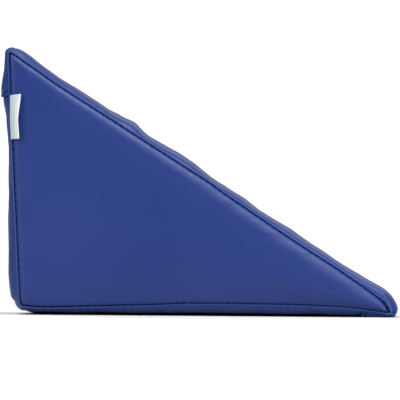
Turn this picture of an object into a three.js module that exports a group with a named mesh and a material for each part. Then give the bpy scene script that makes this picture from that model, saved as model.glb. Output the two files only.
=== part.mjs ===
// A wedge cushion: a foam wedge in a sewn faux-leather cover, and the woven tag in its back seam.
// Millimetres, +X from the tall back towards the toe, +Y away from the tagged side, +Z up.
// The origin is the middle of the bounding box's base.
import * as THREE from 'three';

// Driving sizes of the cushion.
const LENGTH = 300;
const HEIGHT = 200;
const DEPTH = 250;
const PANEL_ROLL = 5;
const PANEL_CROWN = 4;
const SEAM_PLANE = DEPTH / 2 - PANEL_ROLL - PANEL_CROWN;
const BAND_ROLL_WIDTH = 7;

// The corners of the side panel's seam in the side view, from the back of the cushion and up from its base.
// Each is sewn round with its own radius, over its own number of steps.
const CORNERS = [
  { name: 'heel', x: 15.3, z: 6.6, radius: 3.5, steps: 4 },
  { name: 'apex', x: 5.2, z: HEIGHT - 1.3, radius: 2.2, steps: 6 },
  { name: 'brow', x: LENGTH - 8.8, z: 11.2, radius: 9, steps: 4 },
  { name: 'tip', x: LENGTH - 4.7, z: 3.4, radius: 1.8, steps: 6 },
];

// The runs of the seam, each from its corner to the next. A row says, at a distance from the corner, how
// far the seam bows out of the straight line, how high the band rolls up beside the seam, and how much
// further its crown swells in the middle of the cushion's depth.
const BACK_ROWS = [
  { at: 0, bow: 0, roll: 1.6, crown: 0.4 },
  { at: 8, bow: 0, roll: 4.0, crown: 2.3 },
  { at: 24, bow: 0, roll: 4.8, crown: 3.0 },
  { at: 63, bow: 0, roll: 4.0, crown: 2.3 },
  { at: 90, bow: 0.3, roll: 2.9, crown: 1.5 },
  { at: 116, bow: 0.3, roll: 2.0, crown: 0.9 },
  { at: 132, bow: 0.2, roll: 2.5, crown: 1.5 },
  { at: 158, bow: 0, roll: 3.3, crown: 2.1 },
  { at: 169, bow: 0, roll: 3.3, crown: 2.2 },
  { at: 182, bow: 0, roll: 2.3, crown: 1.2 },
  { at: 192, bow: 0, roll: 1.7, crown: 0.5 },
];
const SLOPE_ROWS = [
  { at: 0, bow: 0, roll: 1.8, crown: 0.4 },
  { at: 4, bow: 0, roll: 3.6, crown: 1.5 },
  { at: 13, bow: -0.2, roll: 4.5, crown: 2.4 },
  { at: 29, bow: -0.5, roll: 3.2, crown: 2.1 },
  { at: 43, bow: -0.9, roll: 3.2, crown: 2.2 },
  { at: 57, bow: -0.7, roll: 3.6, crown: 2.3 },
  { at: 76, bow: -0.4, roll: 3.8, crown: 2.5 },
  { at: 91, bow: -0.1, roll: 3.6, crown: 2.4 },
  { at: 108, bow: 0.3, roll: 4.2, crown: 3.2 },
  { at: 121, bow: 0.5, roll: 2.8, crown: 2.3 },
  { at: 138, bow: 0.8, roll: 3.0, crown: 2.5 },
  { at: 157, bow: 1.1, roll: 3.6, crown: 2.9 },
  { at: 182, bow: 1.5, roll: 2.3, crown: 1.8 },
  { at: 193, bow: 1.0, roll: 2.8, crown: 2.3 },
  { at: 224, bow: 0.6, roll: 2.6, crown: 2.1 },
  { at: 252, bow: 0.4, roll: 3.2, crown: 2.6 },
  { at: 272, bow: 0.5, roll: 2.9, crown: 2.4 },
  { at: 279, bow: 0.6, roll: 3.2, crown: 2.7 },
  { at: 297, bow: 0.9, roll: 2.8, crown: 2.3 },
  { at: 315, bow: 0.7, roll: 3.7, crown: 2.7 },
  { at: 333, bow: 0.4, roll: 4.8, crown: 3.0 },
  { at: 342, bow: 0, roll: 4.5, crown: 2.8 },
];
const NOSE_ROWS = [
  { at: 0, bow: 0, roll: 4.4, crown: 2.6 },
  { at: 8.8, bow: 0, roll: 4.4, crown: 1.5 },
];
const BASE_ROWS = [
  { at: 0, bow: 0, roll: 2.6, crown: 0.3 },
  { at: 9, bow: -1.1, roll: 3.4, crown: 0.8 },
  { at: 22, bow: -2.4, roll: 4.2, crown: 1.8 },
  { at: 29, bow: -3.1, roll: 4.9, crown: 3.0 },
  { at: 41, bow: -3.7, roll: 4.9, crown: 4.0 },
  { at: 80, bow: -4.7, roll: 6.1, crown: 4.2 },
  { at: 151, bow: -4.3, roll: 6.1, crown: 4.6 },
  { at: 180, bow: -2.7, roll: 5.2, crown: 4.6 },
  { at: 212, bow: -1.3, roll: 4.1, crown: 4.2 },
  { at: 245, bow: 0.1, roll: 3.3, crown: 4.0 },
  { at: 260, bow: 0.7, roll: 2.8, crown: 2.6 },
  { at: 272, bow: 0.5, roll: 2.8, crown: 0.8 },
  { at: 280, bow: 0, roll: 2.0, crown: 0.3 },
];

// Points lie at most `spacing` apart along a run, and `rimWidth` is the width of the side panel's roll beside
// it. Beside the plain side's seam the band's folds have the share `plain` of the tagged side's height.
const RUNS = [
  { name: 'back', rows: BACK_ROWS, spacing: 10, rimWidth: 6.5, plain: 0.85 },
  { name: 'slope', rows: SLOPE_ROWS, spacing: 10, rimWidth: 10, plain: 0.85 },
  { name: 'nose', rows: NOSE_ROWS, spacing: 4, rimWidth: 6.5, plain: 0.85 },
  { name: 'base', rows: BASE_ROWS, spacing: 10, rimWidth: 6.5, plain: 1 },
];

// The seam of the plain side is sewn apart from the tagged side's, so its folds lie this far along from them.
const FOLD_SHIFT = 17;

// The two lapped joins of the band: the strip over the slope ends part way down the back and a little way
// in under the toe, and its folded end lies on the outside of the strip over the base and back.
const LAPS = [
  { run: 'back', at: 158.5, outsideAhead: true },
  { run: 'base', at: 22.5, outsideAhead: false },
];
const LAP_STEP = 1.5;
const LAP_EDGE = 0.35;
const LAP_LEVEL = 4;
const LAP_FADE = 26;

// How far the rows of points lie in from the seam, over the band and over a side panel.
const BAND_ROWS = [0.4, 1.3, 3, 5.2, 8.5, 18, 40, 70];
const PANEL_ROWS = [0.4, 1.4, 3.2, 6, 10, 18, 34];

// The woven tag, a ribbon folded double: two layers thick, with its cut ends in the seam and its fold over
// the panel. A row of its path is the middle of its thickness, from root to fold, at its top and its foot.
const TAG = { topAt: 159.2, length: 33.2, thickness: 1, steps: 10, topSlant: 0.14, footSlant: 0.06 };
const TAG_PATH = [
  { topAcross: -0.9, topOut: 0.3, footAcross: -1.1, footOut: 0.3 },
  { topAcross: -0.9, topOut: 2.2, footAcross: -1.2, footOut: 2.3 },
  { topAcross: -0.4, topOut: 4.2, footAcross: -0.9, footOut: 4.5 },
  { topAcross: 1.2, topOut: 5.9, footAcross: 0.3, footOut: 6.4 },
  { topAcross: 4.0, topOut: 6.8, footAcross: 2.1, footOut: 7.7 },
  { topAcross: 7.2, topOut: 7.4, footAcross: 4.4, footOut: 8.3 },
];

const COVER_BLUE = 0x2f4285;
const TAG_WHITE = 0xe4e5ee;

const { lerp, smoothstep, clamp } = THREE.MathUtils;

// A smooth value between the rows of a table, which never overshoots a row.
function between(rows, column, at) {
  const last = rows.length - 1;
  const place = clamp(at, rows[0].at, rows[last].at);
  let i = 0;
  while (i < last - 1 && rows[i + 1].at < place) i += 1;
  const step = (k) => rows[k + 1].at - rows[k].at;
  const rise = (k) => (rows[k + 1][column] - rows[k][column]) / step(k);
  const steepness = (k) => {
    if (k === 0 || k === last) return 0;
    const before = rise(k - 1);
    const after = rise(k);
    return before * after <= 0 ? 0 : (2 * before * after) / (before + after);
  };
  const t = (place - rows[i].at) / step(i);
  const lean = t * (1 - t) * step(i) * (steepness(i) * (1 - t) - steepness(i + 1) * t);
  return lerp(rows[i][column], rows[i + 1][column], t * t * (3 - 2 * t)) + lean;
}

// The extra height of the outside strip beside a lapped join: full at its folded edge, gone further along.
function lapRise(run, at) {
  const rises = LAPS.filter((lap) => lap.run === run.name).map((lap) => {
    const past = lap.outsideAhead ? at - lap.at : lap.at - at;
    return past < 0 ? 0 : LAP_STEP * (1 - smoothstep(past, LAP_LEVEL, LAP_FADE));
  });
  return Math.max(0, ...rises);
}

// The straight line of each run between its corners, with the arc that rounds its first corner off.
function layRuns() {
  const points = CORNERS.map((corner) => new THREE.Vector2(corner.x, corner.z));
  const ahead = points.map((point, i) => points[(i + 1) % 4].clone().sub(point));
  return RUNS.map((run, i) => {
    const { radius, steps } = CORNERS[i];
    const start = points[i];
    const length = ahead[i].length();
    const along = ahead[i].clone().normalize();
    const before = ahead[(i + 3) % 4].clone().normalize();
    const outward = new THREE.Vector2(-along.y, along.x);
    const turn = Math.acos(before.dot(along));
    const cut = radius * Math.tan(turn / 2);
    const centre = start.clone().addScaledVector(along, cut).addScaledVector(outward, -radius);
    return { ...run, start, length, along, outward, turn, cut, centre, radius, steps };
  });
}

// The height of the band over the seam at a place on a run, beside the tagged seam and beside the plain one.
function bandHeights(run, at) {
  const shifted = at + FOLD_SHIFT * Math.sin((Math.PI * at) / run.length);
  const read = (column, place, share) => share * between(run.rows, column, place);
  return {
    tagged: { roll: read('roll', at, 1), crown: read('crown', at, 1) },
    plain: { roll: read('roll', shifted, run.plain), crown: read('crown', shifted, run.plain) },
    lap: lapRise(run, at),
  };
}

function mixHeights(a, b, share) {
  const mix = (side, column) => lerp(a[side][column], b[side][column], share);
  return {
    tagged: { roll: mix('tagged', 'roll'), crown: mix('tagged', 'crown') },
    plain: { roll: mix('plain', 'roll'), crown: mix('plain', 'crown') },
    lap: lerp(a.lap, b.lap, share),
  };
}

function seamPoint(run, at, endCut) {
  const clear = Math.min(at - run.cut, run.length - endCut - at);
  const bow = between(run.rows, 'bow', at) * smoothstep(clear, 0, 8);
  return run.start.clone().addScaledVector(run.along, at).addScaledVector(run.outward, bow);
}

// The places along a run where it has a row, those evenly between them, and a close pair at the folded edge
// of each lap that crosses it.
function placesAlong(run, endCut) {
  const apart = run.spacing / 4;
  const laps = LAPS.filter((lap) => lap.run === run.name);
  const edges = laps.flatMap((lap) => [lap.at - LAP_EDGE, lap.at + LAP_EDGE]);
  const ends = [run.cut, run.length - endCut];
  const inner = run.rows.map((row) => row.at).filter((at) => at > ends[0] + apart && at < ends[1] - apart);
  const stops = [ends[0], ...inner, ends[1]];
  const places = stops.slice(0, -1).flatMap((at, i) => {
    const gap = stops[i + 1] - at;
    const count = Math.ceil(gap / run.spacing);
    return Array.from({ length: count }, (_, k) => at + (gap * k) / count);
  });
  const kept = places.filter((at) => edges.every((edge) => Math.abs(edge - at) > apart));
  return [...kept, ...edges].sort((a, b) => a - b);
}

// The stations round the seam, clockwise as the tagged side is seen. Each has its point of the seam, the
// band's outward direction, its heights, and the run that it belongs to.
function layStations(runs) {
  const stations = [];
  runs.forEach((run, i) => {
    const before = runs[(i + 3) % 4];
    const after = runs[(i + 1) % 4];
    const arriving = bandHeights(before, before.length - run.cut);
    const leaving = bandHeights(run, run.cut);
    for (let k = 0; k < run.steps; k += 1) {
      const share = k / run.steps;
      const outward = run.outward.clone().rotateAround(new THREE.Vector2(), run.turn * (1 - share));
      const point = run.centre.clone().addScaledVector(outward, run.radius);
      stations.push({ run, point, outward, heights: mixHeights(arriving, leaving, share) });
    }
    for (const at of placesAlong(run, after.cut)) {
      const point = seamPoint(run, at, after.cut);
      stations.push({ run, point, outward: run.outward, heights: bandHeights(run, at) });
    }
  });
  return stations;
}

// A point of the band, a distance in from the seam of the tagged (-1) or plain (+1) side. It lies flat on
// the surface that the cushion stands on.
function bandPoint(station, inset, side) {
  const { heights, point, outward } = station;
  const y = side * (SEAM_PLANE - inset);
  const roll = (side < 0 ? heights.tagged : heights.plain).roll;
  const across = smoothstep(y, -SEAM_PLANE / 2, SEAM_PLANE / 2);
  const crown = lerp(heights.tagged.crown, heights.plain.crown, across);
  const rolled = Math.sqrt(1 - (1 - Math.min(1, inset / BAND_ROLL_WIDTH)) ** 2);
  const swelled = 1 - (1 - inset / SEAM_PLANE) ** 3;
  const lapped = smoothstep(inset, 0, 3);
  const out = roll * rolled + crown * swelled + heights.lap * lapped;
  return [point.x + outward.x * out, y, Math.max(0, point.y + outward.y * out)];
}

// The middle of the side panel, as far from the back as from the slope and the base, and that distance.
function panelMiddle(runs) {
  const [back, slope, , base] = runs;
  const distance = (run, point) => -run.outward.dot(point.clone().sub(run.start));
  const corner = (a, b) => {
    const gap = b.start.clone().sub(a.start);
    return a.start.clone().addScaledVector(a.along, gap.cross(b.along) / a.along.cross(b.along));
  };
  const heel = corner(base, back);
  const apex = corner(back, slope);
  const toe = corner(slope, base);
  const sides = [apex.distanceTo(toe), toe.distanceTo(heel), heel.distanceTo(apex)];
  const whole = sides[0] + sides[1] + sides[2];
  const middle = heel.multiplyScalar(sides[0] / whole);
  middle.addScaledVector(apex, sides[1] / whole).addScaledVector(toe, sides[2] / whole);
  return { middle, reach: distance(back, middle), distance };
}

// How far a side panel stands out from the seam's plane, at a point a distance in from the seam of its run.
// The distances to the three edges join smoothly, so that no crease runs into the corners.
function panelHeight(runs, panel, run, point, inset) {
  const own = run.name === 'nose' ? 'slope' : run.name;
  const edges = runs.filter((edge) => edge.name !== 'nose').map((edge) => {
    const gap = edge.name === own ? inset : Math.max(inset, panel.distance(edge, point));
    return { width: edge.rimWidth, pull: Math.max(gap, 0.01) ** -4 };
  });
  const pull = edges.reduce((sum, edge) => sum + edge.pull, 0);
  const width = edges.reduce((sum, edge) => sum + (edge.width * edge.pull) / pull, 0);
  const inside = pull ** -0.25;
  const middle = panel.reach * 3 ** -0.25;
  const rolled = Math.sqrt(1 - (1 - Math.min(1, inside / width)) ** 2);
  const swelled = 1 - (1 - Math.min(1, inside / middle)) ** 3;
  return PANEL_ROLL * rolled + PANEL_CROWN * swelled;
}

function panelRow(runs, panel, stations, inset, side) {
  const share = 1 - inset / panel.reach;
  return stations.map((station) => {
    const point = panel.middle.clone().lerp(station.point, share);
    const height = panelHeight(runs, panel, station.run, point, inset);
    return [point.x, side * (SEAM_PLANE + height), point.y];
  });
}

// A closed skin from rings of points laid one inside the next, ending at one point on each side.
function closedSkin(first, rings, last) {
  const count = rings[0].length;
  const positions = [first, ...rings.flat(), last].flat();
  const faces = [];
  const at = (ring, i) => 1 + ring * count + (i % count);
  const end = 1 + rings.length * count;
  for (let i = 0; i < count; i += 1) {
    faces.push(0, at(0, i + 1), at(0, i));
    for (let ring = 0; ring < rings.length - 1; ring += 1) {
      faces.push(at(ring, i), at(ring + 1, i + 1), at(ring + 1, i));
      faces.push(at(ring, i), at(ring, i + 1), at(ring + 1, i + 1));
    }
    faces.push(at(rings.length - 1, i), at(rings.length - 1, i + 1), end);
  }
  const geometry = new THREE.BufferGeometry();
  geometry.setAttribute('position', new THREE.Float32BufferAttribute(positions, 3));
  geometry.setIndex(faces);
  geometry.computeVertexNormals();
  return geometry;
}

// The filled cushion, from the middle of the tagged panel over the band to the middle of the plain one.
function cushionGeometry(runs) {
  const stations = layStations(runs);
  const panel = panelMiddle(runs);
  const tagged = [...PANEL_ROWS].reverse().map((inset) => panelRow(runs, panel, stations, inset, -1));
  const plain = PANEL_ROWS.map((inset) => panelRow(runs, panel, stations, inset, 1));
  const band = [
    ...[0, ...BAND_ROWS].map((inset) => stations.map((station) => bandPoint(station, inset, -1))),
    ...[0, ...BAND_ROWS].reverse().map((inset) => stations.map((station) => bandPoint(station, inset, 1))),
  ];
  const out = SEAM_PLANE + PANEL_ROLL + PANEL_CROWN;
  const middle = (side) => [panel.middle.x, side * out, panel.middle.y];
  return closedSkin(middle(-1), [...tagged, ...band, ...plain], middle(1));
}

// One level section of the tag: down its outer face, round its fold and back along its inner face.
function tagSection(back, share) {
  const at = TAG.topAt - TAG.length * share;
  const root = back.start.clone().addScaledVector(back.along, at);
  const slant = lerp(TAG.topSlant, TAG.footSlant, share);
  const path = TAG_PATH.map((row) => new THREE.Vector2(
    lerp(row.topAcross, row.footAcross, share),
    lerp(row.topOut, row.footOut, share),
  ));
  const normals = path.map((_, i) => {
    const ahead = path[Math.min(i + 1, path.length - 1)].clone();
    const along = ahead.sub(path[Math.max(i - 1, 0)]).normalize();
    return new THREE.Vector2(-along.y, along.x);
  });
  const offset = (i, distance) => path[i].clone().addScaledVector(normals[i], distance);
  const half = TAG.thickness / 2;
  const last = path.length - 1;
  const fold = path[last].clone().addScaledVector(new THREE.Vector2(normals[last].y, -normals[last].x), half);
  const outer = path.map((_, i) => offset(i, half));
  const inner = path.map((_, i) => offset(i, -half)).reverse();
  const outline = [...outer, fold, ...inner];
  return outline.map((p) => [root.x + p.x, -(SEAM_PLANE + p.y), root.y + slant * p.x]);
}

function tagGeometry(back) {
  const shares = Array.from({ length: TAG.steps + 1 }, (_, i) => 1 - i / TAG.steps);
  const sections = shares.map((share) => tagSection(back, share));
  const middle = (section) => {
    const [near, far] = [section[3], section[section.length - 4]];
    return near.map((value, axis) => (value + far[axis]) / 2);
  };
  return closedSkin(middle(sections[0]), sections, middle(sections[sections.length - 1]));
}

function addPiece(group, name, geometry, color, roughness) {
  const material = new THREE.MeshStandardMaterial({ color, roughness, metalness: 0 });
  const mesh = new THREE.Mesh(geometry, material);
  mesh.name = name;
  group.add(mesh);
  return mesh;
}

const runs = layRuns();
const sewn = new THREE.Group();
const cushion = addPiece(sewn, 'cushion', cushionGeometry(runs), COVER_BLUE, 0.42);
addPiece(sewn, 'label', tagGeometry(runs[0]), TAG_WHITE, 0.75);

// The sizes above are from the back of the cushion, and the model's origin is at the middle of its length.
sewn.position.x = -new THREE.Box3().setFromObject(cushion).getCenter(new THREE.Vector3()).x;

const wedge = new THREE.Group();
wedge.name = 'wedge_cushion';
wedge.add(sewn);

export default wedge;
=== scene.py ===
# %% [markdown]
# # A wedge cushion in faux leather
# This lesson dresses a foam wedge. Its cover is sewn from two right-angled side panels and a band that goes
# round their edges, and a woven tag is caught in the seam. The packed model gives the sizes and the place,
# and this script adds what the eye sees: the swelling of the cover, its seams, stitches and laps, and the
# grain and gloss of the faux leather. Blender's unit is the metre. The tables here are in millimetres, as a
# pattern cutter writes them, and they become metres when a mesh is made.

import math

import bpy
import numpy as np
from mathutils import Matrix, Vector


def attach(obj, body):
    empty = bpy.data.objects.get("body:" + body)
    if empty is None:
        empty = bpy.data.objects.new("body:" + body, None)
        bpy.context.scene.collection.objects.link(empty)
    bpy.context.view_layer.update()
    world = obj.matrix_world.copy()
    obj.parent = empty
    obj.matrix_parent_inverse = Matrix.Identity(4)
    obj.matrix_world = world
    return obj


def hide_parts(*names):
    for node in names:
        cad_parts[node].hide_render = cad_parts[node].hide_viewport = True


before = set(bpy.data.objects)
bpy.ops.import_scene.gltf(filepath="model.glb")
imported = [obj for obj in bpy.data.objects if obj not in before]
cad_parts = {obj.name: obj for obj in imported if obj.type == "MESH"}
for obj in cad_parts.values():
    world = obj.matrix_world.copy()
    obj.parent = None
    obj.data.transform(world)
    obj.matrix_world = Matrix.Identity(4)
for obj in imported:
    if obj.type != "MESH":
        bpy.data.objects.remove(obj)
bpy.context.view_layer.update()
MM = 0.001
print("packed nodes:", sorted(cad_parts))

# %% [markdown]
# ## The seam and how the cover swells beside it
# A cushion's shape is set by its seams: the cloth is held there, and the filling pushes it out everywhere
# else. One way is to sculpt the swelling by hand. A table is easier to correct, so each straight run of the
# seam has one: at each distance from the run's first corner it says how far the seam bows, how high the band
# rolls up beside it, and how much further the band's crown swells in the middle of the cushion's depth.
# Places are measured from the back's outermost place and from the floor. MIDDLE is where the packed model has
# its zero, and the two panels' seams lie SEAM_PLANE to either side of the middle of the depth.

# %% The seam's corners
SEAM_PLANE = 116.0
MIDDLE = 149.784


def table(columns, *rows):
    """A table as one array for each named column."""
    return {name: np.array([row[i] for row in rows], float) for i, name in enumerate(columns.split())}


# The seam's corners: the heel, the apex, the slope's end above the toe, and the toe's tip.
CORNERS = table(
    "x z radius",
    (15.3, 6.6, 3.5),
    (5.2, 198.7, 0.8),
    (291.2, 11.2, 20.0),
    (295.3, 3.4, 0.8),
)
print("corners of the seam:", len(CORNERS["x"]))

# %% Back and slope
BACK = table(
    "at bow roll crown",
    (0, 0.3, 2.2, 0.5),
    (8, 0.3, 6.0, 1.2),
    (24, 0.3, 7.1, 1.2),
    (42, 0.3, 6.2, 1.2),
    (63, 0.3, 5.4, 1.2),
    (90, 0.5, 3.6, 1.2),
    (116, 0.5, 2.5, 1.2),
    (132, 0.4, 2.9, 1.2),
    (145, 0.4, 3.6, 1.2),
    (158, 0.3, 5.2, 1.2),
    (169, 0.3, 4.6, 1.2),
    (182, 0.3, 3.0, 1.2),
    (192, 0.3, 2.7, 1.1),
)
SLOPE = table(
    "at bow roll crown",
    (0, 0.3, 3.4, 0.5),
    (4, 0.3, 4.7, 0.6),
    (13, 0, 5.4, 0.8),
    (29, -0.3, 4.5, 0.9),
    (43, -0.7, 4.1, 1.1),
    (57, -0.5, 4.3, 1.3),
    (76, -0.2, 4.0, 1.8),
    (91, 0.1, 3.5, 1.8),
    (108, 0.3, 4.9, 3.0),
    (121, 0.5, 2.8, 2.2),
    (138, 0.8, 3.1, 2.6),
    (151, 1.0, 3.8, 3.1),
    (160, 1.2, 3.8, 3.0),
    (182, 1.5, 2.2, 1.9),
    (193, 1.0, 2.7, 2.2),
    (208, 0.8, 3.2, 2.5),
    (222, 0.6, 2.6, 1.9),
    (252, 0.4, 3.4, 2.6),
    (272, 0.5, 3.1, 2.4),
    (279, 0.6, 3.3, 2.6),
    (297, 0.9, 2.9, 2.3),
    (315, 0.7, 3.5, 2.5),
    (324, 0.5, 4.3, 2.4),
    (333, 0.3, 5.8, 2.1),
    (342, 0, 6.5, 1.7),
)
print("the back rolls up to", BACK["roll"].max(), "mm high, and the slope to", SLOPE["roll"].max(), "mm")

# %% Nose and base
NOSE = table(
    "at bow roll crown",
    (0, 0, 6.2, 1.4),
    (8.8, 0, 5.5, 1.0),
)
BASE = table(
    "at bow roll crown",
    (0, 0, 2.9, 0.2),
    (9, -1.1, 3.4, 0.8),
    (22, -2.4, 4.2, 1.8),
    (29, -3.1, 4.9, 3.0),
    (41, -3.7, 4.9, 4.0),
    (80, -4.7, 6.1, 4.2),
    (151, -4.3, 6.1, 4.6),
    (180, -2.7, 5.2, 4.6),
    (212, -1.3, 4.1, 4.2),
    (245, 0.1, 3.3, 4.0),
    (260, 0.7, 2.8, 3.2),
    (272, 0.5, 2.8, 2.2),
    (280, 0, 2.0, 0.9),
)
print("the base's seam bows in by up to", -BASE["bow"].min(), "mm")

# %% How each run is sewn
# A pair holds at its run's start and at its end: how wide the band's roll is, how squarely it turns, how
# tight the seam is drawn between stitches, and how wide and how high the side panel's rim rolls.
RUNS = [
    {"name": "back", "rows": BACK, "wide": (6.5, 6.5), "bevel": (1.35, 1.35), "tight": (0, 0),
     "rim": (5, 3.5), "rise": (4, 2.8)},
    {"name": "slope", "rows": SLOPE, "wide": (5.5, 3.5), "bevel": (1.25, 1.9), "tight": (0, 0.15),
     "rim": (4.5, 12), "rise": (3.2, 5.2)},
    {"name": "nose", "rows": NOSE, "wide": (6.5, 7), "bevel": (1.5, 1.4), "tight": (0.15, 1),
     "rim": (12, 4), "rise": (5.2, 3)},
    {"name": "base", "rows": BASE, "wide": (5, 5), "bevel": (2, 2), "tight": (0, 0),
     "rim": (3, 3.5), "rise": (2.5, 3.4)},
]
print("rows in the tables:", {run["name"]: len(run["rows"]["at"]) for run in RUNS})

# %% [markdown]
# ## Reading a table
# Between two rows of a table a value follows a smooth curve. An ordinary spline would swing past a steep row
# and leave a dent that nobody asked for, so this one always stays between its two rows.


# %% Curves through a table
def smoothstep(value, low, high):
    t = np.clip((value - low) / (high - low), 0, 1)
    return t * t * (3 - 2 * t)


def lerp(a, b, share):
    return a + (b - a) * share


def hill(away, width):
    """1 where away is 0, and almost nothing at twice the width to either side."""
    return np.exp(-(away / width) ** 2)


def read(rows, column, at):
    """A smooth curve through one column, which never overshoots a row."""
    places, values = rows["at"], rows[column]
    at = np.clip(at, places[0], places[-1])
    step = np.diff(places)
    rise = np.diff(values) / step
    lean = np.zeros(len(places))
    turns = rise[:-1] * rise[1:] > 0
    product = 2 * rise[:-1] * rise[1:]
    lean[1:-1][turns] = product[turns] / (rise[:-1] + rise[1:])[turns]
    i = np.clip(np.searchsorted(places, at) - 1, 0, len(step) - 1)
    t = (at - places[i]) / step[i]
    bent = t * (1 - t) * step[i] * (lean[i] * (1 - t) - lean[i + 1] * t)
    return lerp(values[i], values[i + 1], t * t * (3 - 2 * t)) + bent


print("the base's seam half way along bows by", round(float(read(BASE, "bow", 140.0)), 2), "mm")

# %% [markdown]
# ## Straight runs and rounded corners
# The seam is four nearly straight runs, and its corners are rounded off because sewn cloth can't turn on a
# point. One spline through the corners would bend every run, so each run is a line instead, and each corner
# is an arc that touches both of its lines.


# %% Lay the runs
def lay_runs():
    """Each run with its line between two corners and the arc that rounds its first corner off."""
    points = np.stack([CORNERS["x"], CORNERS["z"]], axis=1)
    ahead = np.roll(points, -1, axis=0) - points
    lengths = np.linalg.norm(ahead, axis=1)
    alongs = ahead / lengths[:, None]
    runs = []
    for i, run in enumerate(RUNS):
        along = alongs[i]
        outward = np.array((-along[1], along[0]))
        turn = math.acos(alongs[i - 1] @ along)
        radius = CORNERS["radius"][i]
        cut = radius * math.tan(turn / 2)
        centre = points[i] + along * cut - outward * radius
        runs.append({**run, "start": points[i], "length": lengths[i], "along": along, "outward": outward,
                     "turn": turn, "radius": radius, "cut": cut, "centre": centre})
    for run, after in zip(runs, runs[1:] + runs[:1]):
        run["end_cut"] = after["cut"]
        run["arc"] = run["radius"] * run["turn"]
        run["straight"] = run["length"] - run["cut"] - after["cut"]
    return runs


runs = lay_runs()
seam_length = sum(run["arc"] + run["straight"] for run in runs)
print("one panel's seam is", round(seam_length, 1), "mm long")

# %% [markdown]
# ## Lapped joins of the band
# The band is two strips. The one over the slope wraps round the apex and the toe, and its folded ends lie on
# top of the strip over the base and back, sewn down with a row of stitches. A join like this could be drawn
# with bump alone, but its step shows in the outline of the back, so it is a real step in the mesh. The edge
# under the base leans: it moves along its run as it leaves the seam.

# %% Where the laps are
LAPS = [
    {"name": "back", "at": 158.5, "ahead": True, "lean": 0.0},
    {"name": "base", "at": 22.0, "ahead": False, "lean": 2.4},
]
LEAN_REACH = 7.0
NO_LAP = -1000.0


def past_fold(run_name, at):
    """How far each place lies past the folded edge of the lap on its run, and how the edge leans."""
    for lap in LAPS:
        if lap["name"] == run_name:
            return (at - lap["at"] if lap["ahead"] else lap["at"] - at), lap["lean"]
    return np.full(np.shape(at), NO_LAP), 0.0


def leaned(lean, inset):
    """How far a leaning edge has moved along its run at an inset from the seam."""
    return lean * (1 - np.exp(-inset / LEAN_REACH))


def past_at(s, inset):
    """How far each station lies past a lap's edge at an inset from the seam."""
    return s["past"] + leaned(s["lean"], inset)


print("laps in mm along their runs:", {lap["name"]: lap["at"] for lap in LAPS})

# %% Height and shade of a lap
LAP_STEP = 1.5
LAP_LEVEL = 4.0
LAP_FADE = 26.0
LAP_EDGE_ROUND = 0.7
LAP_STITCH = 3.3
LAP_GROOVE = {"depth": 0.9, "width": 0.7}
LAP_PRESS = {"depth": 0.35, "width": 1.2}
LAP_SHADES = {"edge": 0.95, "stitches": 0.9}


def lap_height(past):
    """Full at the folded edge, drawn in along its row of stitches, and gone further along."""
    edge = np.sqrt(1 - (1 - np.clip(past / LAP_EDGE_ROUND, 0, 1)) ** 2)
    groove = LAP_GROOVE["depth"] * hill(past - LAP_STITCH, LAP_GROOVE["width"])
    rise = LAP_STEP * edge * (1 - smoothstep(past, LAP_LEVEL, LAP_FADE)) - groove
    pressed = -LAP_PRESS["depth"] * hill(past, LAP_PRESS["width"])
    return np.where(past < 0, pressed, rise)


def lap_shade(past):
    """1 where a lap gets painted shade: in front of its folded edge and along its row of stitches."""
    return np.maximum(hill(past, LAP_SHADES["edge"]), hill(past - LAP_STITCH, LAP_SHADES["stitches"]))


print("lap height 1 mm past the fold:", round(float(lap_height(np.array(1.0))), 2), "mm")

# %% [markdown]
# ## Stations round the seam
# The cover's mesh is a grid. One way it has stations round the seam, and the other way it has rows that go
# from the middle of one side panel, over the band, to the middle of the other. The stations are a fifth of a
# stitch apart, so that the cloth can rise and fall with every stitch. More of them stand close together at
# each lap's folded edge, and fan out round each corner, where the outline would look cut otherwise.

# %% Places round the seam
STITCH_PITCH = 5.6
stitches_round = round(seam_length / STITCH_PITCH)
pitch = seam_length / stitches_round
run_starts = np.cumsum([0] + [run["arc"] + run["straight"] for run in runs])[:-1]


def place_of(run_name, at):
    """The distance round the seam of a place on a run."""
    i = [run["name"] for run in runs].index(run_name)
    return run_starts[i] + runs[i]["arc"] + at - runs[i]["cut"]


def corner_gap(place):
    """How far each place round the seam lies from the nearest corner."""
    corners = run_starts + [run["arc"] / 2 for run in runs]
    apart = np.abs(place[:, None] - corners)
    return np.minimum(apart, seam_length - apart).min(axis=1)


print("stitches round one panel:", stitches_round, "at", round(pitch, 2), "mm")

# %% Heights beside the seam
PLAIN_SHARE = 0.85
FOLD_SHIFT = 17.0


def heights_at(run, at):
    """The band's roll and crown beside the tagged seam, then beside the plain one, and the roll's shape.
    The plain side has the same swellings further along, and a little lower but for the base."""
    shifted = at + FOLD_SHIFT * np.sin(np.pi * at / run["length"])
    plain_share = 1.0 if run["name"] == "base" else PLAIN_SHARE
    tagged = [read(run["rows"], column, at) for column in ("roll", "crown")]
    plain = [plain_share * read(run["rows"], column, shifted) for column in ("roll", "crown")]
    shape = [lerp(*run[name], at / run["length"]) for name in ("wide", "bevel", "tight")]
    return np.stack([*tagged, *plain, *shape], axis=-1)


print("half way up the back the band rolls by", heights_at(runs[0], np.array(100.0))[0].round(1), "mm")

# %% Tuck at the toe's tip
TUCK = {"run": "base", "angle": -0.1, "width": 0.17, "depth": 1.6, "ridge": 0.9, "ridge_at": 2.6,
        "start": (0.2, 1.5), "end": (8, 20), "sunk": 0.3, "shade": 7}


def tuck_depth(angle):
    """How deep the band is tucked under itself at the toe's tip. The fold runs straight out, and a ridge lies
    under it."""
    above = angle - TUCK["angle"]
    fold = TUCK["depth"] * hill(above, TUCK["width"])
    return fold - TUCK["ridge"] * hill(above + TUCK["ridge_at"] * TUCK["width"], TUCK["width"])


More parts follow.
